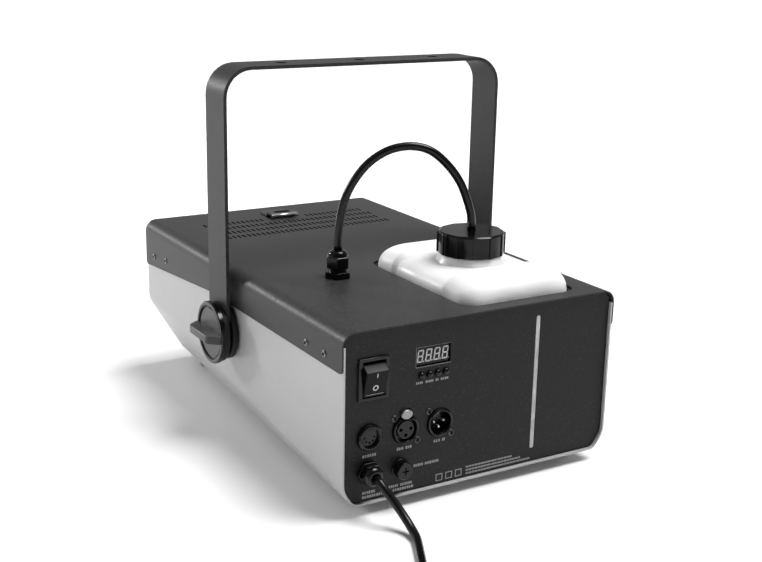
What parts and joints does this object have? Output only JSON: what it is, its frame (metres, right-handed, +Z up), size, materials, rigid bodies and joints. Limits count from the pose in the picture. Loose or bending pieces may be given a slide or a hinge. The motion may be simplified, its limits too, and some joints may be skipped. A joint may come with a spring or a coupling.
{
  "type": "fog machine",
  "caption": "Low sheet-metal stage fog machine with a tilting hanging bracket, a lift-out fluid bottle fed by an arched hose, and a rear panel of sockets, switch and display.",
  "frame": {"origin": "on the floor, under the middle of the body, centred between the ends of the nozzle and the cord gland", "axes": "+Z up, +Y out of the rear control panel, -Y the way the nozzle blows, +X to the side of the switch and the cord"},
  "size_m": [0.4943, 0.6525, 0.331],
  "materials": {
    "cover_paint": "fine-textured dark grey powder coat",
    "chassis_paint": "fine-textured light grey powder coat",
    "panel_paint": "fine-textured black powder coat",
    "bracket_paint": "fine-textured dark grey powder coat",
    "eyelet_paint": "satin black paint",
    "black_plastic": "semi-gloss moulded",
    "gloss_plastic": "gloss moulded",
    "display_window": "gloss window over segments",
    "knob_plastic": "satin moulded",
    "bottle_plastic": "translucent blow-moulded polyethylene",
    "rubber": "matt",
    "hose_rubber": "satin",
    "cord_jacket": "semi-gloss",
    "steel": "zinc plated",
    "brass": "machined",
    "aluminium": "cast",
    "circuit_board": "solder mask",
    "light_strip": "frosted"
  },
  "bodies": {
    "body": {"chassis": "chassis_paint", "top_cover": "cover_paint", "rear_panel": "panel_paint", "front_panel": "panel_paint", "foot_front_left": "rubber", "foot_front_right": "rubber", "foot_rear_left": "rubber", "foot_rear_right": "rubber", "pivot_stud_left": "steel", "pivot_stud_right": "steel", "friction_disc_left": "rubber", "friction_disc_right": "rubber", "switch_frame": "black_plastic", "display_module": "display_window", "control_board": "circuit_board", "remote_socket": "black_plastic", "dmx_out_socket": "black_plastic", "dmx_in_socket": "black_plastic", "dmx_in_pins": "steel", "fuse_holder": "black_plastic", "cord_gland": "black_plastic", "cord_gland_nut": "black_plastic", "sight_window": "light_strip", "light_board": "circuit_board", "bottle_tray": "cover_paint", "hose_gland": "gloss_plastic", "hose_gland_nut": "gloss_plastic", "safety_eyelet": "eyelet_paint", "heater_block": "aluminium", "heater_shroud": "steel", "thermostat": "brass", "nozzle_tube": "steel", "nozzle_tip": "brass", "pump_body": "black_plastic", "pump_bracket": "steel", "suction_hose": "hose_rubber", "pressure_hose": "hose_rubber", "power_board": "circuit_board", "fluid_hose": "hose_rubber", "power_cord": "cord_jacket", "cord_coil": "cord_jacket", "cord_tail": "cord_jacket", "mains_plug": "cord_jacket"},
    "bracket": {"yoke": "bracket_paint"},
    "knob_left": {"knob_left": "knob_plastic", "knob_washer_left": "rubber"},
    "knob_right": {"knob_right": "knob_plastic", "knob_washer_right": "rubber"},
    "rocker": {"switch_rocker": "gloss_plastic"},
    "button_1": {"menu_button_1": "black_plastic"},
    "button_2": {"menu_button_2": "black_plastic"},
    "button_3": {"menu_button_3": "black_plastic"},
    "button_4": {"menu_button_4": "black_plastic"},
    "latch": {"dmx_out_latch": "steel"},
    "fuse_cap": {"fuse_cap": "black_plastic"},
    "bottle": {"fluid_bottle": "bottle_plastic", "pickup_tube": "hose_rubber"},
    "cap": {"bottle_cap": "gloss_plastic"},
    "plunger": {"pump_plunger": "steel"}
  },
  "joints": [
    {"name": "bracket_tilt", "type": "hinge", "parent": "body", "child": "bracket", "pos_m": [0, -0.004, 0.096], "axis": [1, 0, 0], "range_deg": [-90, 90]},
    {"name": "knob_left_turn", "type": "hinge", "parent": "body", "child": "knob_left", "pos_m": [0.147, -0.004, 0.096], "axis": [1, 0, 0], "continuous": true},
    {"name": "knob_right_turn", "type": "hinge", "parent": "body", "child": "knob_right", "pos_m": [-0.147, -0.004, 0.096], "axis": [-1, 0, 0], "continuous": true},
    {"name": "switch_rock", "type": "hinge", "parent": "body", "child": "rocker", "pos_m": [0.1033, 0.199, 0.1136], "axis": [1, 0, 0], "range_deg": [0, 29]},
    {"name": "button_1_press", "type": "slide", "parent": "body", "child": "button_1", "axis": [0, -1, 0], "range_m": [0, 0.001], "stiffness_N_per_m": 500},
    {"name": "button_2_press", "type": "slide", "parent": "body", "child": "button_2", "axis": [0, -1, 0], "range_m": [0, 0.001], "stiffness_N_per_m": 500},
    {"name": "button_3_press", "type": "slide", "parent": "body", "child": "button_3", "axis": [0, -1, 0], "range_m": [0, 0.001], "stiffness_N_per_m": 500},
    {"name": "button_4_press", "type": "slide", "parent": "body", "child": "button_4", "axis": [0, -1, 0], "range_m": [0, 0.001], "stiffness_N_per_m": 500},
    {"name": "latch_press", "type": "slide", "parent": "body", "child": "latch", "axis": [0, -1, 0], "range_m": [0, 0.0015], "stiffness_N_per_m": 500},
    {"name": "fuse_cap_turn", "type": "hinge", "parent": "body", "child": "fuse_cap", "pos_m": [0.077, 0.207, 0.034], "axis": [0, 1, 0], "range_deg": [0, 90]},
    {"name": "bottle_lift", "type": "slide", "parent": "body", "child": "bottle", "axis": [0, 0, 1], "range_m": [0, 0.145], "deforming": ["fluid_hose"]},
    {"name": "cap_turn", "type": "hinge", "parent": "bottle", "child": "cap", "pos_m": [-0.047, 0.114, 0.18], "axis": [0, 0, 1], "range_deg": [0, 270]},
    {"name": "plunger_stroke", "type": "slide", "parent": "body", "child": "plunger", "axis": [0, 1, 0], "range_m": [-0.0015, 0.0015], "stiffness_N_per_m": 1500}
  ]
}
